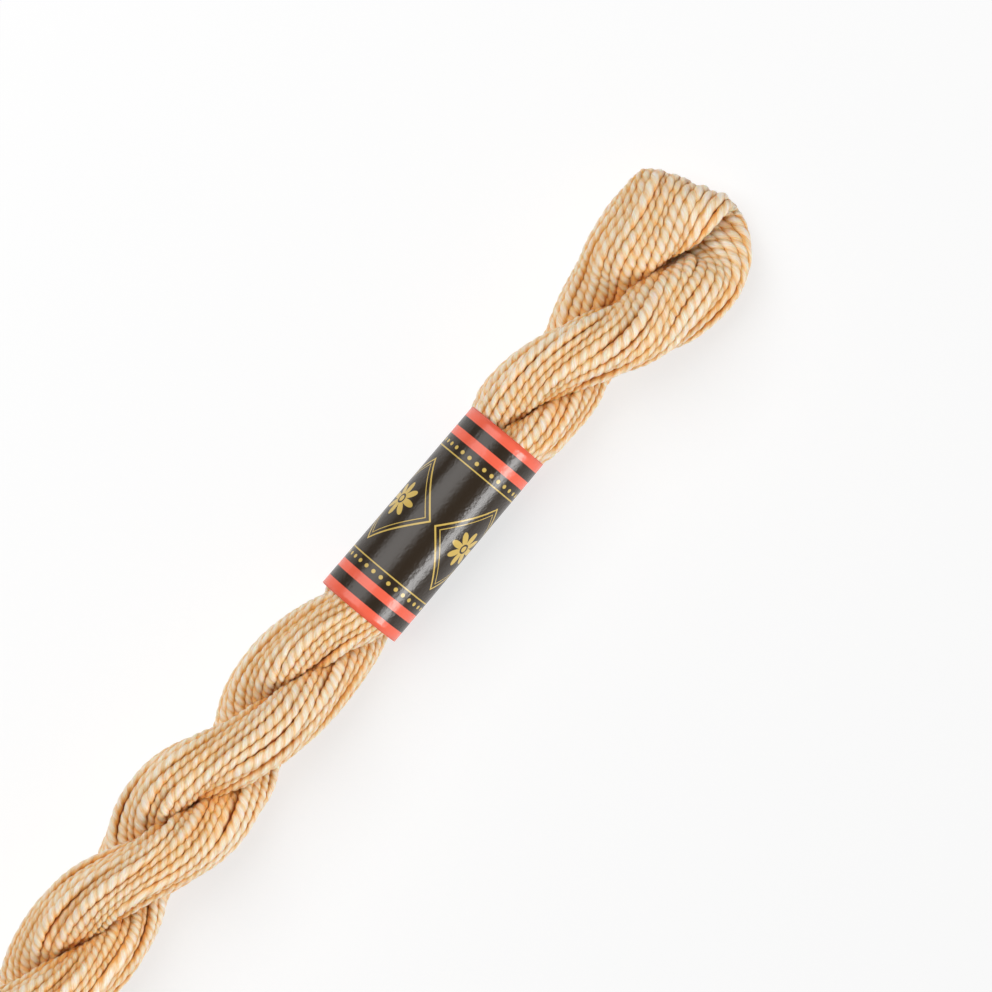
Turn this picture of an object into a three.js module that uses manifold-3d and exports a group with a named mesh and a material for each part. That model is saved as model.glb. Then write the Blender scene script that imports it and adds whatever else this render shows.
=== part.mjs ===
// A hank of thick two-ply pearl cotton with a paper band.
// The skein is one bundle of turns, twisted and doubled: two legs wind round each other as a right-handed rope,
// and at each end the bundle folds over itself in a loop. The hank lies along X on the surface at Z = 0,
// with the band nearer to its end at +X. All sizes are in millimetres.

import * as THREE from 'three';
import { mergeVertices } from 'three/addons/utils/BufferGeometryUtils.js';
import Module from 'manifold-3d';

const HALF_TURN = 18.78;      // from one crossing of the legs to the next
const HALF_TURNS = 6;         // between the ends of the two loops
const CROSSING_SHIFT = 0.45;  // of the places where the legs cross, towards +X from the loops' ends
const AXIS_HEIGHT = 5.8;      // of the line that the legs wind round, above the surface
const LEG_OVERLAP = 0.4;      // how far each leg passes the middle, which joins the two in one solid
const LEG_SQUARENESS = 3.2;   // power of the curve of a leg's inner side, pressed flat by the other leg
const TOP_NARROWING = 0.11;   // share by which a leg is narrower on top of the other, and wider under it

const BAND_AT = 32.2;         // middle of the paper band along X
const BAND_LENGTH = 25.4;
const BAND_DIAMETER = 10.2;
const BAND_WALL = 1;
const GAP = 0.3;              // between the band and the yarn, all round and at both ends

const SURFACE_LENGTH = 200;   // of the block under the hank that cuts its flat spots
const SURFACE_WIDTH = 40;
const SURFACE_DEPTH = 10;

const ROUND = 26;             // flat faces round the bundle
const BAND_ROUND = 64;        // flat faces round the band
const STEPS_A_ROW = 1;        // steps of the solid from one row of the leg to the next
const ROWS_A_HALF_TURN = 8;
const LOOP_STEPS = 2;         // steps from one row of the loop to the next
const SMALLEST_EDGE = 0.05;   // shorter edges, left where solids are joined, are closed up

const YARN_COLOUR = 0xe4be8c;
const PAPER_COLOUR = 0x2d2a28;

const END_CROSSING = HALF_TURN * HALF_TURNS / 2;

// The twist, a row for every quarter turn from the crossing at the +X loop to the one at the -X loop.
// sway and rise move the line that the legs wind round, reach is from that line to the middle of a leg,
// out is from the middle of a leg to its outer side, and side is half the leg's width.
const TWIST = [
  { sway: -0.20, rise: 0.00, reach: 2.75, out: 3.30, side: 4.05 },
  { sway: 0.00, rise: 0.00, reach: 2.64, out: 2.97, side: 3.96 },
  { sway: 0.00, rise: 0.00, reach: 2.26, out: 2.64, side: 3.74 },
  { sway: 0.00, rise: 0.00, reach: 2.26, out: 2.64, side: 3.74 },
  { sway: 0.35, rise: 0.00, reach: 2.60, out: 3.05, side: 3.80 },
  { sway: 0.70, rise: 0.10, reach: 2.80, out: 3.15, side: 3.95 },
  { sway: 0.20, rise: 0.22, reach: 2.85, out: 3.30, side: 3.95 },
  { sway: 0.82, rise: 0.35, reach: 3.08, out: 3.80, side: 4.15 },
  { sway: 0.70, rise: 0.40, reach: 2.95, out: 3.45, side: 4.00 },
  { sway: 0.44, rise: 0.40, reach: 2.97, out: 3.70, side: 4.15 },
  { sway: 0.10, rise: 0.40, reach: 2.97, out: 3.50, side: 4.10 },
  { sway: 0.10, rise: 0.20, reach: 2.90, out: 3.50, side: 4.10 },
  { sway: 0.20, rise: 0.00, reach: 2.75, out: 3.30, side: 4.05 },
];

// The loop at the +X end, in three stretches from the front leg round to the back leg, a row for each section.
// past is along X from the end crossing, across and up are from the hank's middle line, and away is the
// direction of the outer side. out and inward are half thicknesses, side is half the width, and the power
// is that of the inner side's curve.
const TO_FOLD = [
  { past: 5.3, across: -2.95, up: 2.1, away: [0, -0.76, 0.65], out: 4.2, inward: 3.4, side: 4.1, power: 2.3 },
  { past: 9.2, across: -4.1, up: 1, away: [0, -1, 0.05], out: 4.4, inward: 4.4, side: 3.9, power: 2.3 },
  { past: 13.4, across: -5.45, up: -1.1, away: [0, -0.8, -0.6], out: 4.2, inward: 4.2, side: 4.2, power: 2 },
  { past: 17.2, across: -4.95, up: -3.1, away: [0.1, -0.35, -0.95], out: 2.9, inward: 2.6, side: 5.45, power: 2 },
];
const FROM_FOLD = [
  { past: 16.6, across: 2.85, up: 0.2, away: [0, 0.25, 0.97], out: 2.9, inward: 2.6, side: 5.2, power: 2 },
  { past: 13.1, across: 3, up: -0.3, away: [0, 0.75, 0.65], out: 4.2, inward: 4.4, side: 4.6, power: 2 },
  { past: 9, across: 2.45, up: -1.7, away: [0, 1, -0.1], out: 3.8, inward: 4.1, side: 4, power: 2.3 },
  { past: 4.6, across: 1.6, up: -2.2, away: [0, 0.7, -0.72], out: 3.6, inward: 3.3, side: 4.1, power: 2.6 },
];
// The fold turns the flattened bundle over a line that lies level and leans back from straight across.
const FOLD = {
  past: 19.75, across: 1.2, up: -2,
  radius: 1.9, lean: 18, advance: 0.45,   // advance along the line, for each unit of the way round it
  out: 1.95, inward: 1.8, side: 5.33,
};
const FOLD_ANGLES = [-90, -45, 0, 45, 90];

const wasm = await Module();
wasm.setup();

/** Closed three.js geometry as a solid that can be joined and cut. */
function solidOf(geometry) {
  geometry.deleteAttribute('normal');
  geometry.deleteAttribute('uv');
  const merged = mergeVertices(geometry);
  return new wasm.Manifold(new wasm.Mesh({
    numProp: 3,
    vertProperties: new Float32Array(merged.attributes.position.array),
    triVerts: new Uint32Array(merged.index.array),
  }));
}

/** Outer skin of a solid as a three.js geometry: slivers go, and pinholes where the legs press together are filled. */
function geometryOf(solid) {
  const pieces = solid.simplify(SMALLEST_EDGE).decompose();
  const [outer] = pieces.sort((one, other) => other.volume() - one.volume());
  const mesh = outer.getMesh();
  const geometry = new THREE.BufferGeometry();
  geometry.setAttribute('position', new THREE.BufferAttribute(new Float32Array(mesh.vertProperties), 3));
  geometry.setIndex(new THREE.BufferAttribute(new Uint32Array(mesh.triVerts), 1));
  geometry.computeVertexNormals();
  return geometry;
}

/** Sizes of the twist at a place along X, eased from one row of the table to the next. */
function twistAt(x) {
  const place = THREE.MathUtils.clamp((END_CROSSING - x) / (HALF_TURN / 2), 0, TWIST.length - 1);
  const row = Math.min(Math.floor(place), TWIST.length - 2);
  const share = THREE.MathUtils.smoothstep(place - row, 0, 1);
  const sizes = {};
  for (const name of Object.keys(TWIST[row])) {
    sizes[name] = THREE.MathUtils.lerp(TWIST[row][name], TWIST[row + 1][name], share);
  }
  return sizes;
}

/** Section of one leg at a place along X. The second leg is half a turn behind the first. */
function legSection(x, isSecond) {
  const { sway, rise, reach, out, side } = twistAt(x);
  const along = x - END_CROSSING - CROSSING_SHIFT;
  const turned = Math.PI / 2 + Math.PI * along / HALF_TURN + (isSecond ? Math.PI : 0);
  const away = new THREE.Vector3(0, Math.cos(turned), Math.sin(turned));
  const centre = new THREE.Vector3(x, sway, AXIS_HEIGHT + rise).addScaledVector(away, reach);
  const girth = new THREE.Vector3(out, reach + LEG_OVERLAP, side * (1 - TOP_NARROWING * away.z));
  return { centre, away, girth, power: LEG_SQUARENESS };
}

/** Rows of the fold, worked out round its line from the lower layer to the upper one. */
function foldRow(degrees) {
  const lean = THREE.MathUtils.degToRad(FOLD.lean);
  const angle = THREE.MathUtils.degToRad(degrees);
  const away = [Math.cos(lean) * Math.cos(angle), Math.sin(lean) * Math.cos(angle), Math.sin(angle)];
  const slid = FOLD.advance * FOLD.radius * angle;
  return {
    past: FOLD.past + FOLD.radius * away[0] - slid * Math.sin(lean),
    across: FOLD.across + FOLD.radius * away[1] + slid * Math.cos(lean),
    up: FOLD.up + FOLD.radius * away[2],
    away, out: FOLD.out, inward: FOLD.inward, side: FOLD.side, power: 2,
  };
}

const LOOP = [...TO_FOLD, ...FOLD_ANGLES.map(foldRow), ...FROM_FOLD];

/** Section of a loop. The -X loop is the +X one turned half round about the vertical. */
function loopSection(row, end) {
  return {
    centre: new THREE.Vector3(end * (END_CROSSING + row.past), end * row.across, AXIS_HEIGHT + row.up),
    away: new THREE.Vector3(end * row.away[0], end * row.away[1], row.away[2]),
    girth: new THREE.Vector3(row.out, row.inward, row.side),
    power: row.power,
  };
}

/** Sections of the whole bundle in order: first leg, +X loop, second leg, and the -X loop back to the first. */
function bundleSections() {
  const rows = HALF_TURNS * ROWS_A_HALF_TURN;
  const places = Array.from({ length: rows + 1 }, (_, i) => -END_CROSSING + HALF_TURN * i / ROWS_A_HALF_TURN);
  return [
    ...places.map((x) => legSection(x, false)),
    ...LOOP.map((row) => loopSection(row, 1)),
    ...places.toReversed().map((x) => legSection(x, true)),
    ...LOOP.map((row) => loopSection(row, -1)).toReversed(),
  ];
}

const sections = bundleSections();
const closedCurve = (points) => new THREE.CatmullRomCurve3(points, true, 'catmullrom', 0.5);
const centres = closedCurve(sections.map((section) => section.centre));
const outward = closedCurve(sections.map((section) => section.away));
const girths = closedCurve(sections.map((section) => section.girth));

/** Point on the bundle: at a row number, a direction round it, and a share of the way out from its middle. */
function bundlePoint(row, angle, share) {
  const along = (row / sections.length) % 1;
  const centre = centres.getPoint(along);
  const forward = centres.getTangent(along);
  const away = outward.getPoint(along);
  away.addScaledVector(forward, -away.dot(forward)).normalize();
  const sideways = new THREE.Vector3().crossVectors(forward, away);
  const girth = girths.getPoint(along);
  const whole = Math.floor(row);
  const powers = [sections[whole % sections.length].power, sections[(whole + 1) % sections.length].power];
  const bend = Math.cos(angle) < 0 ? 2 / THREE.MathUtils.lerp(...powers, row - whole) : 1;
  const outPart = Math.cos(angle) < 0 ? -girth.y * (-Math.cos(angle)) ** bend : girth.x * Math.cos(angle);
  const sidePart = Math.sign(Math.sin(angle)) * girth.z * Math.abs(Math.sin(angle)) ** bend;
  return centre.addScaledVector(away, share * outPart).addScaledVector(sideways, share * sidePart);
}

/** Solid of the bundle between two rows: a round bar whose points are moved out to the bundle's surface. */
function bundleSolid(from, to, stepsARow) {
  const bar = new THREE.CylinderGeometry(1, 1, 1, ROUND, (to - from) * stepsARow);
  const place = bar.attributes.position;
  for (let i = 0; i < place.count; i += 1) {
    const row = from + (place.getY(i) + 0.5) * (to - from);
    const point = bundlePoint(row, Math.atan2(place.getX(i), place.getZ(i)), Math.hypot(place.getX(i), place.getZ(i)));
    place.setXYZ(i, point.x, point.y, point.z);
  }
  return solidOf(bar);
}

/** Short solids of the bundle from one row to a later one, joined where they meet and where they press together. */
function joinedSolid(from, to) {
  let joined = bundleSolid(from, from + 1, LOOP_STEPS);
  for (let row = from + 1; row < to; row += 1) {
    joined = joined.add(bundleSolid(row, row + 1, LOOP_STEPS));
  }
  return joined;
}

/** Tube along X round the hank's middle line, between two radii. */
function tube(innerRadius, outerRadius, length) {
  const profile = [
    [innerRadius, -length / 2], [outerRadius, -length / 2],
    [outerRadius, length / 2], [innerRadius, length / 2], [innerRadius, -length / 2],
  ].map(([radius, along]) => new THREE.Vector2(radius, along));
  const geometry = new THREE.LatheGeometry(profile, BAND_ROUND);
  geometry.rotateZ(-Math.PI / 2);
  return geometry;
}

/** The yarn: two legs and two loops in one solid, with a neck for the band and flat spots to lie on. */
function yarnGeometry() {
  const legRows = HALF_TURNS * ROWS_A_HALF_TURN;
  const topLoop = legRows;
  const secondLeg = topLoop + LOOP.length + 1;
  const lowLoop = secondLeg + legRows;
  const whole = bundleSolid(0, legRows, STEPS_A_ROW)
    .add(joinedSolid(topLoop, secondLeg))
    .add(bundleSolid(secondLeg, lowLoop, STEPS_A_ROW))
    .add(joinedSolid(lowLoop, lowLoop + LOOP.length + 1));
  const neckRadius = BAND_DIAMETER / 2 - BAND_WALL - GAP;
  const neck = tube(neckRadius, BAND_DIAMETER, BAND_LENGTH + 2 * GAP).translate(BAND_AT, 0, AXIS_HEIGHT);
  const below = new THREE.BoxGeometry(SURFACE_LENGTH, SURFACE_WIDTH, SURFACE_DEPTH);
  below.translate(0, 0, -SURFACE_DEPTH / 2);
  return geometryOf(whole.subtract(solidOf(neck)).subtract(solidOf(below)));
}

const hank = new THREE.Group();

const yarn = new THREE.Mesh(yarnGeometry(), new THREE.MeshStandardMaterial({
  color: YARN_COLOUR,
  roughness: 0.55,
  metalness: 0,
}));
yarn.name = 'yarn_hank';
hank.add(yarn);

const band = new THREE.Mesh(
  tube(BAND_DIAMETER / 2 - BAND_WALL, BAND_DIAMETER / 2, BAND_LENGTH),
  new THREE.MeshStandardMaterial({ color: PAPER_COLOUR, roughness: 0.35, metalness: 0 }),
);
band.name = 'paper_band';
band.position.set(BAND_AT, 0, AXIS_HEIGHT);
hank.add(band);

export default hank;
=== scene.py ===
import bpy
import numpy as np
from mathutils import Matrix


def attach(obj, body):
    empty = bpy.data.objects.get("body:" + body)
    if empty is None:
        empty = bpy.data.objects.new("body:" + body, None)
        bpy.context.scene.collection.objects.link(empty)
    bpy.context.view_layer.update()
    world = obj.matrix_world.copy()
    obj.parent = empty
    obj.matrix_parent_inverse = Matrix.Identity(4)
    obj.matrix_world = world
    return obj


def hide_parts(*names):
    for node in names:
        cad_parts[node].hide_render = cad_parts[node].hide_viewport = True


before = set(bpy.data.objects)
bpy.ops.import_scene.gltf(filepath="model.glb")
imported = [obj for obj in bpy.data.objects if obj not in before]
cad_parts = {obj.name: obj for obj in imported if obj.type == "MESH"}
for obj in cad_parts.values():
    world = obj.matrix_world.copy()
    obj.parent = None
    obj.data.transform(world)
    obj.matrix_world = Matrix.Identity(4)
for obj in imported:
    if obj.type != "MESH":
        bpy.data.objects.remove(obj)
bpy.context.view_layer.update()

# The wound bundle: a skein of some forty turns of cotton thread, twisted up and doubled, so that its two legs
# wind round each other as a right-handed rope. At both ends it goes on round, is pressed flat and folds over
# itself. One closed line, with a section carried along it, places every turn. Sizes here are in mm.
HALF_TURN = 18.78
HALF_TURNS = 6
AXIS_HEIGHT = 5.8
END_CROSSING = HALF_TURN * HALF_TURNS / 2
ROWS_A_HALF_TURN = 8
# Each leg goes past the axis by the overlap, and the squareness is the power of its inner side's curve.
LEG_OVERLAP = 0.1
LEG_SQUARENESS = 3.1
TOP_NARROWING = 0.11
# The legs cross this much further towards +X than the rows of the twist table lie.
CROSSING_SHIFT = 0.45

# A row for every quarter turn, from the crossing at the +X loop to the one at the -X loop: how far the axis
# sways across and rises, the leg's distance from it, and the leg's half thickness outward and half width.
TWIST = np.array([
    (-0.20, 0.00, 2.75, 3.30, 4.05),
    (0.00, 0.00, 2.64, 2.97, 3.96),
    (0.00, 0.00, 2.26, 2.64, 3.74),
    (0.00, 0.00, 2.26, 2.64, 3.74),
    (0.35, 0.00, 2.60, 3.05, 3.80),
    (0.70, 0.10, 2.80, 3.15, 3.95),
    (0.20, 0.22, 2.85, 3.30, 3.95),
    (0.82, 0.35, 3.08, 3.80, 4.15),
    (0.70, 0.40, 2.95, 3.45, 4.00),
    (0.44, 0.40, 2.97, 3.70, 4.15),
    (0.10, 0.40, 2.97, 3.50, 4.10),
    (0.10, 0.20, 2.90, 3.50, 4.10),
    (0.20, 0.00, 2.75, 3.30, 4.05),
])

# A row for each section of a loop: past the end crossing, across, up, the outer side's direction, the half
# thicknesses outward and inward, half the width, and the power of the inner side's curve.
TO_FOLD = [
    (5.3, -2.95, 2.1, 0, -0.76, 0.65, 4.2, 3.4, 4.1, 2.3),
    (9.2, -4.1, 1, 0, -1, 0.05, 4.4, 4.4, 3.9, 2.3),
    (13.4, -5.45, -1.1, 0, -0.8, -0.6, 4.2, 4.2, 4.2, 2),
    (17.2, -4.95, -3.1, 0.1, -0.35, -0.95, 2.9, 2.6, 5.45, 2),
]
FROM_FOLD = [
    (16.6, 2.85, 0.2, 0, 0.25, 0.97, 2.9, 2.6, 5.2, 2),
    (13.1, 3, -0.3, 0, 0.75, 0.65, 4.2, 4.4, 4.6, 2),
    (9, 2.45, -1.7, 0, 1, -0.1, 3.8, 4.1, 4, 2.3),
    (4.6, 1.6, -2.2, 0, 0.7, -0.72, 3.6, 3.3, 4.1, 2.6),
]
FOLD_MIDDLE = np.array((19.75, 1.2, -2))
FOLD_RADIUS = 1.9
FOLD_LEAN = np.radians(18)
FOLD_ADVANCE = 0.45
FOLD_GIRTH = (1.95, 1.8, 5.33, 2)
FOLD_ANGLES = np.radians((-90, -45, 0, 45, 90))


def fold_rows():
    """Rows round the fold: middle + radius * away + advance * radius * angle * line, where away turns from
    straight down to straight up about a level line that leans back from straight across."""
    line = np.array((-np.sin(FOLD_LEAN), np.cos(FOLD_LEAN), 0))
    level = np.array((np.cos(FOLD_LEAN), np.sin(FOLD_LEAN), 0))
    away = np.outer(np.cos(FOLD_ANGLES), level) + np.outer(np.sin(FOLD_ANGLES), (0, 0, 1))
    place = FOLD_MIDDLE + FOLD_RADIUS * (away + FOLD_ADVANCE * np.outer(FOLD_ANGLES, line))
    return np.hstack([place, away, np.tile(FOLD_GIRTH, (len(FOLD_ANGLES), 1))])


def leg_rows(along, behind):
    """Sections of one leg at places along X: the twist table, eased by 3t^2 - 2t^3 from row to row, and a
    centre at reach * (0, cos turned, sin turned) from the axis, where behind is 0 for one leg and pi for the
    other. The leg is narrower by TOP_NARROWING where it lies on the other one, and wider by as much below."""
    place = np.clip((END_CROSSING - along) / (HALF_TURN / 2), 0, len(TWIST) - 1)
    row = np.minimum(place.astype(int), len(TWIST) - 2)
    share = (place - row)[:, None]
    share = share * share * (3 - 2 * share)
    sway, rise, reach, out, side = (TWIST[row] * (1 - share) + TWIST[row + 1] * share).T
    turned = np.pi / 2 + np.pi * (along - END_CROSSING - CROSSING_SHIFT) / HALF_TURN + behind
    away = np.stack([0 * along, np.cos(turned), np.sin(turned)], 1)
    centre = np.stack([along, sway, AXIS_HEIGHT + rise], 1) + reach[:, None] * away
    side = side * (1 - TOP_NARROWING * away[:, 2])
    girth = np.stack([out, reach + LEG_OVERLAP, side, 0 * along + LEG_SQUARENESS], 1)
    return np.hstack([centre, away, girth])


def loop_rows(end):
    """Sections of the loop at the +X end (end 1), or the same turned half round the vertical (end -1)."""
    rows = np.vstack([TO_FOLD, fold_rows(), FROM_FOLD])
    rows[:, :3] += (END_CROSSING, 0, AXIS_HEIGHT)
    rows[:, [0, 1, 3, 4]] *= end
    return rows


def smooth_rows(rows, place):
    """Closed Catmull-Rom curve through rows, read at places counted in rows: half of 2 * here, plus the
    neighbours' difference times t, plus bend * t^2, plus bow * t^3."""
    whole = np.floor(place).astype(int)
    t = (place - whole)[:, None]
    before, here, there, after = [rows[(whole + k) % len(rows)] for k in (-1, 0, 1, 2)]
    bend = 2 * before - 5 * here + 4 * there - after
    bow = 3 * here - before - 3 * there + after
    return 0.5 * (2 * here + (there - before) * t + bend * t**2 + bow * t**3)


def unit(vectors):
    """Vectors divided by their lengths."""
    return vectors / np.linalg.norm(vectors, axis=-1, keepdims=True)


leg_places = np.linspace(-END_CROSSING, END_CROSSING, HALF_TURNS * ROWS_A_HALF_TURN + 1)
bundle = np.vstack([
    leg_rows(leg_places, 0),
    loop_rows(1),
    leg_rows(leg_places[::-1], np.pi),
    loop_rows(-1)[::-1],
])

# The path is measured in fine steps, in rows, and then cut into stations of even length, in mm.
FINE_STEP = 0.02
STATION_STEP = 0.26
fine = np.arange(0, len(bundle), FINE_STEP)
fine_line = smooth_rows(bundle, fine)[:, :3]
fine_steps = np.linalg.norm(np.roll(fine_line, -1, 0) - fine_line, axis=1)
travelled = np.concatenate([[0], np.cumsum(fine_steps)])
path_length = travelled[-1]
stations = int(round(path_length / STATION_STEP))
distance = np.arange(stations) * path_length / stations
row_place = np.interp(distance, travelled, np.append(fine, len(bundle)))
sections = smooth_rows(bundle, row_place)
middle = sections[:, :3]
just_ahead = smooth_rows(bundle, row_place + FINE_STEP / 2)[:, :3]
just_behind = smooth_rows(bundle, row_place - FINE_STEP / 2)[:, :3]
forward = unit(just_ahead - just_behind)
outward = sections[:, 3:6]
outward = unit(outward - (outward * forward).sum(1, keepdims=True) * forward)
sideways = np.cross(forward, outward)

# The lay of the turns. The skein was twisted up before it was doubled, so its turns run round the bundle the
# other way from the rope, less round the outside of a loop. Speeds are in turns for each mm of path.
TWIST_SPEED = -0.0345
LOOP_SPEED = -np.array(
    (0.0455, 0.0455, 0.038, 0.030, 0.016, 0.006, 0.003, 0.005, 0.018, 0.040, 0.040, 0.036, 0.035)
)
legs_at = len(leg_places)
loop_size = len(LOOP_SPEED)
row_speed = np.full(len(bundle), TWIST_SPEED)
row_speed[legs_at:legs_at + loop_size] = LOOP_SPEED
row_speed[2 * legs_at + loop_size:] = LOOP_SPEED[::-1]
speed = np.interp(row_place, np.arange(len(bundle) + 1), np.append(row_speed, row_speed[0]))
turned = np.cumsum(speed) * path_length / stations
turned *= round(turned[-1]) / turned[-1]


def wander(random, count, longest, shortest):
    """Smooth closed noise along the path for each thread: sines of whole numbers of waves with random phases,
    between two wavelengths in mm, the longer ones stronger, with a spread of about 1."""
    waves = np.arange(int(path_length / longest), int(path_length / shortest))
    strength = random.normal(size=(count, len(waves))) / np.sqrt(waves)
    strength /= np.sqrt((strength**2).sum(1, keepdims=True) / 2)
    phase = random.uniform(0, 2 * np.pi, (count, len(waves)))
    angle = 2 * np.pi * distance[:, None] * waves / path_length
    return np.einsum("cw,csw->cs", strength, np.sin(angle[None] + phase[:, None]))


GIRTH_SAMPLES = 96
SMALLEST_HALF = 0.35


def section_curve(shrunk):
    """The bundle's section, a rounded D made smaller all round by shrunk mm. Its outward part is out * cos a
    in front and -inward * |cos a|^(2/power) behind. Its sideways part is side * sin a, with the same power
    behind. Returns both parts for each station and angle."""
    angle = np.linspace(-np.pi, np.pi, GIRTH_SAMPLES + 1)[None]
    out, inward, side = [np.maximum(sections[:, 6 + i, None] - shrunk, SMALLEST_HALF) for i in range(3)]
    cos, sin = np.cos(angle), np.sin(angle)
    power = np.where(cos < 0, 2 / sections[:, 9, None], 1)
    away = np.where(cos < 0, -inward * np.abs(cos) ** power, out * cos)
    return away, side * np.sign(sin) * np.abs(sin) ** power


# Longest and shortest waves in mm of the turns' widths and of their sinking, how much the sinking wanders,
# and how far at most a roomy turn rises, both as shares of the sinking.
WIDTH_WAVES = (60, 9)
SUNK_WAVES = (50, 12)
SUNK_WANDER = 0.2
MOST_RISE = 0.1


def lay_turns(count, shrunk, crowding, sinking, start, seed):
    """Middle lines of the turns round the bundle, the outward direction at each, how far each is sunk and the
    room that it has. The turns share the section's girth by widths exp(crowding * noise). A turn is sunk by
    sinking * (1 - its width / the mean width + a little noise), so a crowded one goes in."""
    random = np.random.default_rng(seed)
    away, across = section_curve(shrunk)
    girth_steps = np.hypot(np.diff(away), np.diff(across))
    girth = np.hstack([np.zeros((stations, 1)), np.cumsum(girth_steps, 1)])
    whole_girth = girth[:, -1].copy()
    girth /= girth[:, -1:]
    width = np.exp(crowding * wander(random, count, *WIDTH_WAVES))
    edge = np.cumsum(width, 0)
    share = (edge - width / 2) / edge[-1]
    share += start + turned - share.mean(0) + np.mean((np.arange(count) + 0.5) / count)
    share %= 1
    row = np.arange(stations)[None]
    cell = np.clip((girth[None] < share[..., None]).sum(2) - 1, 0, GIRTH_SAMPLES - 1)
    t = (share - girth[row, cell]) / (girth[row, cell + 1] - girth[row, cell])

    def at_turns(values):
        """Values of the section's samples, read at each turn: first * (1 - t) + next * t."""
        return values[row, cell] * (1 - t) + values[row, cell + 1] * t

    turn_away, turn_across = at_turns(away), at_turns(across)
    slope_away = at_turns(np.gradient(away, axis=1))
    slope_across = at_turns(np.gradient(across, axis=1))
    slope = np.hypot(slope_away, slope_across) + 1e-9
    normal_away, normal_across = slope_across / slope, -slope_away / slope
    crowded_by = np.clip(1 - width / width.mean(0), -MOST_RISE, 1)
    sunk = sinking * (crowded_by + SUNK_WANDER * wander(random, count, *SUNK_WAVES))
    turn_away, turn_across = turn_away - normal_away * sunk, turn_across - normal_across * sunk
    line = middle + turn_away[..., None] * outward + turn_across[..., None] * sideways
    normal = normal_away[..., None] * outward + normal_across[..., None] * sideways
    return line, normal, sunk, whole_girth * width / edge[-1]


# The outer turns of thread, which show: two plies laid together to the left, in lustrous mercerised cotton.
# They lie side by side round the bundle, press on each other, and go in under the band.
MM = 0.001
THREAD = 0.555
THREADS = 20
BAND_MIDDLE = 32.2
BAND_LENGTH = 25.4
BAND_RADIUS = 5.1
PAPER = 0.12

# The threads stay clear of the paper by GATHER_GAP. Past the band's ends they spread by GATHER_SLOPE mm a mm.
GATHER_GAP = 0.02
GATHER_SLOPE = 0.4
GATHER_SHARPNESS = 2
GATHER_SOFTNESS = 0.12


def gather(line, radius):
    """Draws threads in towards the axis: their distance from it meets a limit, the inside of the band, which
    grows past the band's ends, by the soft minimum -s * log(exp(-distance / s) + exp(-limit / s)). The soft
    maximum, with the signs turned round, keeps them above the surface."""
    beyond = np.abs(line[..., 0] - BAND_MIDDLE) - BAND_LENGTH / 2
    inside = BAND_RADIUS - PAPER - radius - GATHER_GAP
    limit = inside + GATHER_SLOPE * np.logaddexp(0, beyond * GATHER_SHARPNESS) / GATHER_SHARPNESS
    offset = line[..., 1:] - (0, AXIS_HEIGHT)
    reach = np.linalg.norm(offset, axis=-1)
    soft = GATHER_SOFTNESS
    drawn = -soft * np.logaddexp(-reach / soft, -limit / soft)
    pulled = line.copy()
    pulled[..., 1:] = (0, AXIS_HEIGHT) + offset * np.minimum(drawn / reach, 1)[..., None]
    pulled[..., 2] = soft * np.logaddexp(pulled[..., 2] / soft, radius / soft)
    return pulled


# Waves in the turns that are shorter than this many mm are pulled straight.
PULL = 5.5


def tighten(values, reach):
    """Takes sharp bends out of the turns, as their pull does: waves along the closed path that are shorter
    than the reach in mm are damped, by exp(-(reach / wavelength)^4), and longer ones stay."""
    waves = np.fft.rfftfreq(stations, path_length / stations)
    damped = np.fft.rfft(values, axis=1) * np.exp(-((waves * reach) ** 4))[:, None]
    return np.fft.irfft(damped, stations, axis=1)


# The plies: the length in mm in which they turn once, the groove between them as a share of the thread's
# radius, how unevenly they are laid, in turns, and the angles of one ply's corners, closer near the groove.
PLY_PITCH = 2.3
PLY_GROOVE = 0.26
GROOVE_POWER = 1.5
PLY_DRIFT = 0.2
PLY_CORNERS = np.radians((-90, -74, -46, -16, 16, 46, 74))


def thread_rings(line, normal, half_height, half_width, twist_start):
    """Rings of a two-ply thread. At an angle that turns left-handed with the plies, a little unevenly, the
    radius is 1 - groove * (1 - |cos|)^power of an ellipse of the thread's half height and half width."""
    ahead = unit(np.roll(line, -1, 1) - np.roll(line, 1, 1))
    up = unit(normal - (normal * ahead).sum(-1, keepdims=True) * ahead)
    left = np.cross(ahead, up)
    around = np.concatenate([PLY_CORNERS, PLY_CORNERS + np.pi])
    ply_turns = round(path_length / PLY_PITCH)
    lay = -2 * np.pi * (ply_turns * distance[None] / path_length + twist_start)
    radius = 1 - PLY_GROOVE * (1 - np.abs(np.cos(around))) ** GROOVE_POWER
    angle = lay[..., None] + around
    rise = radius * np.cos(angle) * half_height[..., None]
    spread = radius * np.sin(angle) * half_width[..., None]
    place = line[:, :, None] + rise[..., None] * up[:, :, None] + spread[..., None] * left[:, :, None]
    return place, np.cos(angle), around


CLEFT_WIDTH = 2.0
PART_AWAY = 16
EVERY_FOURTH = slice(None, None, 4)


def crowded(line):
    """How far each station lies in the cleft between two parts of the bundle: 1 - gap / CLEFT_WIDTH, from 1
    where it touches another part. The gap is the distance to that part's middle line less its mean half
    thickness. Another part lies over PART_AWAY mm along the path, and only every fourth station is asked."""
    apart = np.abs(distance[:, None] - distance[None, EVERY_FOURTH])
    other = np.minimum(apart, path_length - apart) > PART_AWAY
    part = middle[EVERY_FOURTH].astype(np.float32)
    reach = sections[EVERY_FOURTH, 6:9].mean(1).astype(np.float32)
    cleft = np.empty(line.shape[:2])
    for turn, points in enumerate(line.astype(np.float32)):
        gap = np.linalg.norm(points[:, None] - part[None], axis=2) - reach
        cleft[turn] = np.where(other, gap, np.inf).min(1)
    return np.clip(1 - cleft / CLEFT_WIDTH, 0, 1)


SUNK_SHADE = 0.35


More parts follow.
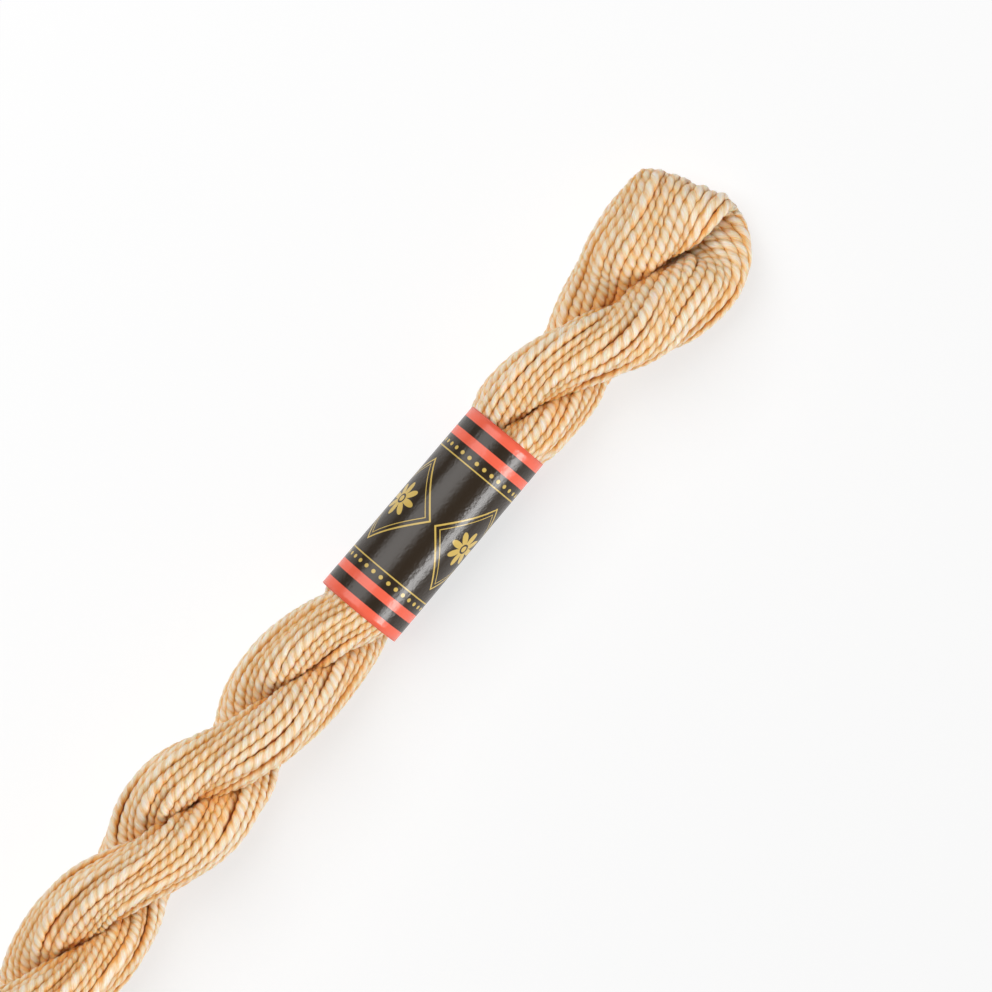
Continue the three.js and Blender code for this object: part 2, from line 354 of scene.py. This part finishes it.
def tube_mesh(name, rings, facing, sunk, cleft, around):
    """Closed tubes as one mesh: rings[tube, station, corner]. The UV map runs along in mm and once round. The
    point attribute 'depth' is half of (1 - facing) plus SUNK_SHADE * sunk, so 0 on the outside of a turn; it
    carries painted shade onto a turn's inward side and onto sunk turns. 'cleft' is 1 where the turn dives
    between two parts of the bundle, and carries painted shade there."""
    tubes, length, corners, _ = rings.shape
    number = np.arange(tubes * length * corners).reshape(tubes, length, corners)
    after = np.roll(number, -1, 1)
    quads = np.stack([number, np.roll(number, -1, 2), np.roll(after, -1, 2), after], -1).reshape(-1, 4)
    mesh = bpy.data.meshes.new(name)
    mesh.vertices.add(number.size)
    mesh.vertices.foreach_set("co", (rings * MM).astype(np.float32).ravel())
    mesh.loops.add(quads.size)
    mesh.loops.foreach_set("vertex_index", quads.astype(np.int32).ravel())
    mesh.polygons.add(len(quads))
    mesh.polygons.foreach_set("loop_start", np.arange(0, quads.size, 4, dtype=np.int32))
    mesh.polygons.foreach_set("use_smooth", np.ones(len(quads), bool))
    mesh.update(calc_edges=True)
    along = np.arange(length)[None, :, None, None] + np.array((0, 0, 1, 1))
    turn_ends = np.append(around, around[0] + 2 * np.pi) / (2 * np.pi)
    uv = np.empty((tubes, length, corners, 4, 2), np.float32)
    uv[..., 0] = along * path_length / length
    uv[..., 1] = np.stack([turn_ends[:-1], turn_ends[1:], turn_ends[1:], turn_ends[:-1]], -1)
    mesh.uv_layers.new(name="lay").data.foreach_set("uv", uv.ravel())
    # Painted shade: the colour deepens with this on a turn's inward side and where the turn is sunk.
    painted_depth_shade = np.clip(0.5 - 0.5 * facing + SUNK_SHADE * sunk[..., None], 0, 1)
    mesh.attributes.new("depth", "FLOAT", "POINT").data.foreach_set("value", painted_depth_shade.astype(np.float32).ravel())
    # 'cleft' carries painted shade into the clefts between parts of the bundle.
    diving = np.broadcast_to(cleft[..., None], number.shape).astype(np.float32)
    mesh.attributes.new("cleft", "FLOAT", "POINT").data.foreach_set("value", diving.ravel())
    mesh.validate()
    piece = bpy.data.objects.new(name, mesh)
    bpy.context.collection.objects.link(piece)
    return piece


def node(tree, kind, inputs=(), **settings):
    """A shader node with settings, and with inputs set, by name or number, to values or nodes' outputs."""
    made = tree.nodes.new(kind)
    for key, value in settings.items():
        setattr(made, key, value)
    for key, value in dict(inputs).items():
        if isinstance(value, bpy.types.NodeSocket):
            tree.links.new(value, made.inputs[key])
        else:
            made.inputs[key].default_value = value
    return made


def ramp(tree, factor, stops):
    """A colour ramp with (place, colour) stops."""
    made = node(tree, "ShaderNodeValToRGB", {"Fac": factor})
    points = made.color_ramp.elements
    while len(points) < len(stops):
        points.new(0.5)
    for point, (place, colour) in zip(points, stops):
        point.position = place
        point.color = (*colour, 1)
    return made.outputs["Color"]


# Painted shade: the cotton's colour runs deeper and warmer the more a turn faces inward or is sunk, and
# lighter on its outward top, up to a painted near-white highlight. Painted shade in the grooves between
# plies and in the clefts between parts of the bundle adds to that, and so do fibre grain with painted
# streak highlights and soft patches of tone, by these shares. Fibre noise is drawn out along a thread.
DEPTH_START = 0.32
FIBRE_SHARE = 0.8
PATCH_SHARE = 0.10
GROOVE_SHARE = 0.2
CLEFT_SHARE = 0.30
GROOVE_SHARPNESS = 3.0
CLEFT_SHARPNESS = 1.5
FIBRE_STRETCH = 0.35
# From a painted near-white highlight through the cotton's own tan to painted shade in deep orange.
COTTON_HIGHLIGHT_TO_SHADE = [
    (0.04, (1.00, 0.93, 0.83)),
    (0.13, (0.96, 0.82, 0.65)),
    (0.30, (0.92, 0.655, 0.37)),
    (0.52, (0.87, 0.43, 0.11)),
    (0.95, (0.82, 0.30, 0.04)),
]
cotton = bpy.data.materials.new("pearl_cotton")
cotton.use_nodes = True
tree = cotton.node_tree
shader = tree.nodes["Principled BSDF"]


def maths(operation, first, second=0.0, third=0.0):
    """One number from others, by a Math node of the material in hand."""
    return node(tree, "ShaderNodeMath", {0: first, 1: second, 2: third}, operation=operation).outputs[0]


depth = node(tree, "ShaderNodeAttribute", attribute_name="depth").outputs["Fac"]
# Painted shade in the clefts, where a turn dives between two parts of the bundle.
cleft = node(tree, "ShaderNodeAttribute", attribute_name="cleft").outputs["Fac"]
lay = node(tree, "ShaderNodeUVMap", uv_map="lay").outputs["UV"]
split = node(tree, "ShaderNodeSeparateXYZ", {0: lay})
turn = maths("MULTIPLY", split.outputs["Y"], 2 * np.pi)
cosine = maths("COSINE", turn)
sine = maths("SINE", turn)
# Painted shade in the groove between the two plies: 1 there and 0 on a ply's crest.
ply_groove_shade = maths("POWER", maths("ABSOLUTE", sine), GROOVE_SHARPNESS)
slow = maths("MULTIPLY", split.outputs["X"], FIBRE_STRETCH)
fibre_place = node(tree, "ShaderNodeCombineXYZ", {0: cosine, 1: sine, 2: slow}).outputs[0]
fibre_noise = {"Vector": fibre_place, "Scale": 5.0, "Detail": 4.0}
# Fibre noise: grain in the relief and in the colour, where it also paints highlight streaks along a ply.
fibre_grain_and_sheen = node(tree, "ShaderNodeTexNoise", fibre_noise).outputs["Fac"]
object_place = node(tree, "ShaderNodeTexCoord").outputs["Object"]
patch_noise = {"Vector": object_place, "Scale": 220.0, "Detail": 2.0}
patches = node(tree, "ShaderNodeTexNoise", patch_noise).outputs["Fac"]
# Ramp place: painted shade from depth, ply grooves and clefts, with grain and painted streak highlights.
shade_and_grain = maths("MULTIPLY_ADD", fibre_grain_and_sheen, FIBRE_SHARE, maths("SUBTRACT", depth, DEPTH_START))
shade_and_grain = maths("MULTIPLY_ADD", patches, PATCH_SHARE, shade_and_grain)
shade_and_grain = maths("MULTIPLY_ADD", ply_groove_shade, GROOVE_SHARE, shade_and_grain)
shade_and_grain = maths("MULTIPLY_ADD", maths("POWER", cleft, CLEFT_SHARPNESS), CLEFT_SHARE, shade_and_grain)
tree.links.new(ramp(tree, shade_and_grain, COTTON_HIGHLIGHT_TO_SHADE), shader.inputs["Base Color"])
shader.inputs["Roughness"].default_value = 0.3
shader.inputs["Subsurface Weight"].default_value = 0.35
shader.inputs["Subsurface Radius"].default_value = (1.0, 0.5, 0.2)
shader.inputs["Subsurface Scale"].default_value = 0.0004
shader.inputs["Sheen Weight"].default_value = 0.2
shader.inputs["Sheen Roughness"].default_value = 0.4
shader.inputs["Specular IOR Level"].default_value = 0.65
fibre_relief = {"Height": fibre_grain_and_sheen, "Strength": 0.9, "Distance": 0.00016}
bump = node(tree, "ShaderNodeBump", fibre_relief).outputs["Normal"]
tree.links.new(bump, shader.inputs["Normal"])

# A thread is wider than its room by SQUEEZE, within limits in mm, and flatter the wider it is.
SQUEEZE = 1.2
HALF_WIDTHS = (0.48, 0.73)
HALF_HEIGHTS = (0.5, 0.6)
lines, normals, sunk, room = lay_turns(THREADS, THREAD, crowding=0.17, sinking=0.9, start=0.0, seed=4)
half_width = np.clip(room * SQUEEZE / 2, *HALF_WIDTHS)
half_height = np.clip(THREAD**2 / half_width, *HALF_HEIGHTS)
lines = gather(tighten(lines, PULL), np.maximum(half_height, half_width))
normals = unit(tighten(normals, PULL))
random = np.random.default_rng(9)
twist_start = random.uniform(0, 1, (THREADS, 1)) + PLY_DRIFT * wander(random, THREADS, *WIDTH_WAVES)
rings, facing, around = thread_rings(lines, normals, half_height, half_width, twist_start)
cleft = crowded(lines)

# The turns are shared out among four pieces, to keep each within its number of faces.
TURNS_A_PIECE = 5
hank = []
for number, letter in enumerate("abcd"):
    some = slice(number * TURNS_A_PIECE, (number + 1) * TURNS_A_PIECE)
    turns = tube_mesh(f"outer_turns_{letter}", rings[some], facing[some], sunk[some], cleft[some], around)
    turns.data.materials.append(cotton)
    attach(turns, "root")
    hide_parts("yarn_hank")
    hank.append(turns)

# The turns under the outer ones, seen only in the grooves between them and where the outer turns spread
# apart. They are the same thread, drawn with fewer faces, and fatter to close the gaps. Their colour carries
# painted shade, as if they faced sideways and were sunk further; their rings are not drawn in for it.
INNER_DEPTH = 1.05
INNER_THREADS = 14
INNER_CORNERS = 6
INNER_RADIUS = 0.68
INNER_CLEARANCE = 0.75
# Painted shade only: added to the inner turns' sinking in the colour, not in their shape.
INNER_PAINTED_SHADE = 0.3
EVERY_SECOND = slice(None, None, 2)
lines, normals, sunk, _ = lay_turns(
    INNER_THREADS, THREAD + INNER_DEPTH - THREAD / 2, crowding=0.05, sinking=0.1, start=0.02, seed=7)
lines = gather(lines, THREAD + INNER_CLEARANCE)[:, EVERY_SECOND]
normals = normals[:, EVERY_SECOND]
sunk = sunk[:, EVERY_SECOND]


def plain_rings(line, normal, radius, around):
    """Rings of a plain round thread: radius times cos and sin round the line."""
    ahead = unit(np.roll(line, -1, 1) - np.roll(line, 1, 1))
    up = unit(normal - (normal * ahead).sum(-1, keepdims=True) * ahead)
    left = np.cross(ahead, up)
    around = around[:, None]
    return line[:, :, None] + radius * (np.cos(around) * up[:, :, None] + np.sin(around) * left[:, :, None])


around = np.arange(INNER_CORNERS) * 2 * np.pi / INNER_CORNERS
rings = plain_rings(lines, normals, INNER_RADIUS, around)
inner = tube_mesh("inner_turns", rings, np.zeros(rings.shape[:3]), sunk + INNER_PAINTED_SHADE, 0 * sunk, around)
inner.data.materials.append(cotton)
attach(inner, "root")
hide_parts("yarn_hank")

# The paper band: a strip of coated paper, printed black with coral end stripes and a gold pattern, wrapped
# round both legs and glued where its ends overlap, low on the +Y side. Angles are from the top, in radians.
BAND_STEPS = 160
BAND_COLUMNS = 41
BAND_JOIN = np.radians(-140)
BAND_OVERLAP = np.radians(34)

# The lap rises over the strip's start by a little more than the paper, in a short smooth step.
LAP_RISE = 1.15 * PAPER
LAP_LEAD = 0.06
LAP_STEEPNESS = 60
around = np.linspace(BAND_JOIN, BAND_JOIN + 2 * np.pi + BAND_OVERLAP, BAND_STEPS)
lengthwise = np.linspace(-0.5, 0.5, BAND_COLUMNS)
lift = LAP_RISE / (1 + np.exp(-(around - BAND_JOIN - 2 * np.pi + LAP_LEAD) * LAP_STEEPNESS))

# The band is a slight cone, wider at its end nearer the middle of the hank, and lies a little askew.
RADIUS_AT_MIDDLE_END = 5.17
RADIUS_AT_LOOP_END = 5.03
SHIFT_ACROSS = 0.06
SHIFT_ALONG = 0.25
mean_radius = (RADIUS_AT_MIDDLE_END + RADIUS_AT_LOOP_END) / 2
taper = (RADIUS_AT_LOOP_END - RADIUS_AT_MIDDLE_END) * lengthwise[None]
band_radius = mean_radius + taper + lift[:, None] - PAPER / 2
band_shift = SHIFT_ACROSS - SHIFT_ALONG * lengthwise

# Shallow dents: two to six waves round the band, each with a random depth in mm, start and slant.
DENT_DEPTH = 0.012
DENT_SLANT = 1.3
random = np.random.default_rng(21)
waves = np.arange(2, 7)[:, None, None]
dent_depth = random.normal(0, DENT_DEPTH, waves.shape)
dent_start = random.uniform(0, 6, waves.shape)
dent_slant = DENT_SLANT * lengthwise * random.normal(0, 1, waves.shape)
dents = (dent_depth * np.sin(waves * around[:, None] + dent_start + dent_slant)).sum(0)
band_radius = band_radius + dents
outer = np.stack([
    BAND_MIDDLE + BAND_LENGTH * lengthwise + 0 * band_radius,
    band_shift + band_radius * np.sin(-around)[:, None],
    AXIS_HEIGHT + band_radius * np.cos(around)[:, None],
], -1)
number = np.arange(BAND_STEPS * BAND_COLUMNS).reshape(BAND_STEPS, BAND_COLUMNS)
quads = np.stack([number[:-1, :-1], number[:-1, 1:], number[1:, 1:], number[1:, :-1]], -1).reshape(-1, 4)
mesh = bpy.data.meshes.new("printed_band")
mesh.from_pydata((outer * MM).reshape(-1, 3), [], quads.tolist())
uv = np.stack(np.broadcast_arrays(lengthwise * BAND_LENGTH, around[:, None] * BAND_RADIUS), -1).reshape(-1, 2)
mesh.uv_layers.new(name="print").data.foreach_set("uv", uv[quads.ravel()].astype(np.float32).ravel())
mesh.polygons.foreach_set("use_smooth", np.ones(len(quads), bool))
band = bpy.data.objects.new("printed_band", mesh)
bpy.context.collection.objects.link(band)
wall = band.modifiers.new("paper", "SOLIDIFY")
wall.thickness = PAPER * MM
wall.offset = 0

paper = bpy.data.materials.new("coated_paper")
paper.use_nodes = True
tree = paper.node_tree
shader = tree.nodes["Principled BSDF"]


def within(value, low, high, soft=0.05):
    """1 where value is between low and high, with soft edges, in mm."""
    rise = maths("MULTIPLY_ADD", value, 1 / soft, 0.5 - low / soft)
    fall = maths("MULTIPLY_ADD", value, -1 / soft, 0.5 + high / soft)
    return maths("MAXIMUM", maths("MINIMUM", maths("MINIMUM", rise, fall), 1.0), 0.0)


def either(first, second):
    """The larger of two masks."""
    return maths("MAXIMUM", first, second)


print_place = node(tree, "ShaderNodeUVMap", uv_map="print").outputs["UV"]
split = node(tree, "ShaderNodeSeparateXYZ", {0: print_place})
along, across = split.outputs["X"], split.outputs["Y"]
from_middle = maths("ABSOLUTE", along)

# Two coral stripes towards each end, as distances in mm from the middle of the band's length.
END_STRIPE = (11.45, 13.0)
INNER_STRIPE = (9.0, 10.1)
coral = either(within(from_middle, *END_STRIPE), within(from_middle, *INNER_STRIPE))

# The gold pattern repeats three times round the band: nested diamonds, a rosette, rows of dots and a thin
# line beside each row. Sizes are in mm, and a rosette has eight petals round an eye.
PATTERNS = 3
DIAMOND_SLOPE = 1.15
DIAMOND_LINE = (5.55, 5.85)
DIAMOND_THIN_LINE = (4.85, 5.0)
PETALS = 8
PETAL_LENGTH = 1.5
PETAL_START = 0.75
EYE_RADIUS = 0.38
EYE_RING = 0.62
DOTS_A_PATTERN = 10
DOT_ROW = 8.1
DOT_RADIUS = 0.24
THIN_LINE = (7.25, 7.4)
NO_LIMIT = 9
BELOW_ZERO = -1
pattern = 2 * np.pi * BAND_RADIUS / PATTERNS
dot_pitch = pattern / DOTS_A_PATTERN


def hypotenuse(first, second):
    """The root of the sum of two numbers' squares."""
    squares = maths("MULTIPLY", first, first), maths("MULTIPLY", second, second)
    return maths("SQRT", maths("ADD", *squares))


folded = maths("ABSOLUTE", maths("SUBTRACT", maths("FLOORED_MODULO", across, pattern), pattern / 2))
diamond = maths("MULTIPLY_ADD", folded, DIAMOND_SLOPE, from_middle)
gold = either(within(diamond, *DIAMOND_LINE), within(diamond, *DIAMOND_THIN_LINE))
radius = hypotenuse(along, folded)
angle = maths("ARCTAN2", folded, along)
petals = maths("ABSOLUTE", maths("COSINE", maths("MULTIPLY", angle, PETALS / 2)))
petal_edge = maths("MULTIPLY_ADD", petals, PETAL_LENGTH, PETAL_START)
in_petal = within(maths("SUBTRACT", radius, petal_edge), -NO_LIMIT, 0)
past_ring = within(radius, EYE_RING, NO_LIMIT)
gold = either(gold, maths("MULTIPLY", in_petal, past_ring))
gold = either(gold, within(radius, BELOW_ZERO, EYE_RADIUS))
dot_along = maths("SUBTRACT", maths("FLOORED_MODULO", across, dot_pitch), dot_pitch / 2)
dot_across = maths("SUBTRACT", from_middle, DOT_ROW)
gold = either(gold, within(hypotenuse(dot_along, dot_across), BELOW_ZERO, DOT_RADIUS))
gold = either(gold, within(from_middle, *THIN_LINE))

BLACK_INK = (0.026, 0.016, 0.008, 1)
CORAL_INK = (0.85, 0.13, 0.07, 1)
GOLD_INK = (0.62, 0.43, 0.10, 1)


def ink_over(mask, under, ink):
    """The colour under where the mask is 0, and the ink where it is 1."""
    colours = {"Factor": mask, "A": under, "B": ink}
    return node(tree, "ShaderNodeMix", colours, data_type="RGBA").outputs["Result"]


print_colour = ink_over(gold, ink_over(coral, BLACK_INK, CORAL_INK), GOLD_INK)
tree.links.new(print_colour, shader.inputs["Base Color"])
object_place = node(tree, "ShaderNodeTexCoord").outputs["Object"]
paper_noise = {"Vector": object_place, "Scale": 2600.0, "Detail": 3.0}
grain = node(tree, "ShaderNodeTexNoise", paper_noise).outputs["Fac"]
paper_relief = {"Height": grain, "Strength": 0.6, "Distance": 0.00006}
bump = node(tree, "ShaderNodeBump", paper_relief).outputs["Normal"]
tree.links.new(bump, shader.inputs["Normal"])
shader.inputs["Roughness"].default_value = 0.27
shader.inputs["Specular IOR Level"].default_value = 0.42
band.data.materials.append(paper)
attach(band, "root")
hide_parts("paper_band")

# The plain pale floor that the hank lies on, six metres square. It is no part of the hank, and it glows a
# little, so that it shows as evenly pale as in the photograph.
FLOOR_HALF = 3
floor_mesh = bpy.data.meshes.new("floor")
corners = [(x * FLOOR_HALF, y * FLOOR_HALF, 0) for x, y in ((-1, -1), (1, -1), (1, 1), (-1, 1))]
floor_mesh.from_pydata(corners, [], [(0, 1, 2, 3)])
floor = bpy.data.objects.new("floor", floor_mesh)
bpy.context.collection.objects.link(floor)
pale = bpy.data.materials.new("pale_floor")
pale.use_nodes = True
shader = pale.node_tree.nodes["Principled BSDF"]
shader.inputs["Base Color"].default_value = (0.32, 0.32, 0.32, 1)
shader.inputs["Roughness"].default_value = 0.9
shader.inputs["Emission Color"].default_value = (1, 1, 1, 1)
shader.inputs["Emission Strength"].default_value = 0.73
floor.data.materials.append(pale)

# Plain soft studio light, and the camera straight above with the hank slanting up to the right. One pixel of
# the picture is 0.11 mm at the height of the axis.
PICTURE_SIDE = 992
PIXEL = 0.11 * MM
LAMP_DISTANCE = 0.75
LENS = 200
SENSOR = 36
view_centre = np.array((38.95, -3.33)) * MM
up_slant = np.radians(50.3)
right = np.array((np.cos(up_slant), -np.sin(up_slant), 0))
up = np.array((np.sin(up_slant), np.cos(up_slant), 0))


def place_lamp(name, toward, size, power):
    """A square soft light, LAMP_DISTANCE metres from the picture's middle, in the direction that toward gives
    as (right, up, above). It shines along its own -Z, so its Z is that direction, and its X is level."""
    lamp = bpy.data.lights.new(name, "AREA")
    lamp.shape = "SQUARE"
    lamp.size = size
    lamp.energy = power
    holder = bpy.data.objects.new(name, lamp)
    bpy.context.collection.objects.link(holder)
    direction = toward[0] * right + toward[1] * up + toward[2] * np.array((0, 0, 1))
    direction /= np.linalg.norm(direction)
    across = unit(np.cross((0, 0, 1), direction))
    above = np.cross(direction, across)
    spot = np.array((*view_centre, 0)) + LAMP_DISTANCE * direction
    axes = np.vstack([np.stack([across, above, direction, spot], 1), (0, 0, 0, 1)])
    holder.matrix_world = Matrix(axes.tolist())
    return holder


place_lamp("key_light", (-0.49, 0.41, 1.0), size=0.66, power=4.75)
side_light = place_lamp("side_light", (0.8, -0.67, 0.62), size=0.28, power=4.2)

# The side light falls on the hank and its band alone, and leaves the floor and its shadow as they are.
lit = bpy.data.collections.new("lit_from_the_side")
for piece in (*hank, inner, band):
    lit.objects.link(piece)
side_light.light_linking.receiver_collection = lit
world = bpy.data.worlds.new("studio")
world.use_nodes = True
world.node_tree.nodes["Background"].inputs["Color"].default_value = (1, 1, 1, 1)
world.node_tree.nodes["Background"].inputs["Strength"].default_value = 0.15
bpy.context.scene.world = world
bpy.context.scene.view_settings.view_transform = "Standard"

camera_data = bpy.data.cameras.new("camera")
camera_data.lens = LENS
camera_data.sensor_width = SENSOR
camera = bpy.data.objects.new("camera", camera_data)
bpy.context.collection.objects.link(camera)
camera_height = AXIS_HEIGHT * MM + PICTURE_SIDE * PIXEL / 2 / (SENSOR / 2 / LENS)
camera.matrix_world = Matrix([
    (right[0], up[0], 0, view_centre[0]),
    (right[1], up[1], 0, view_centre[1]),
    (0, 0, 1, camera_height),
    (0, 0, 0, 1),
])
bpy.context.scene.camera = camera
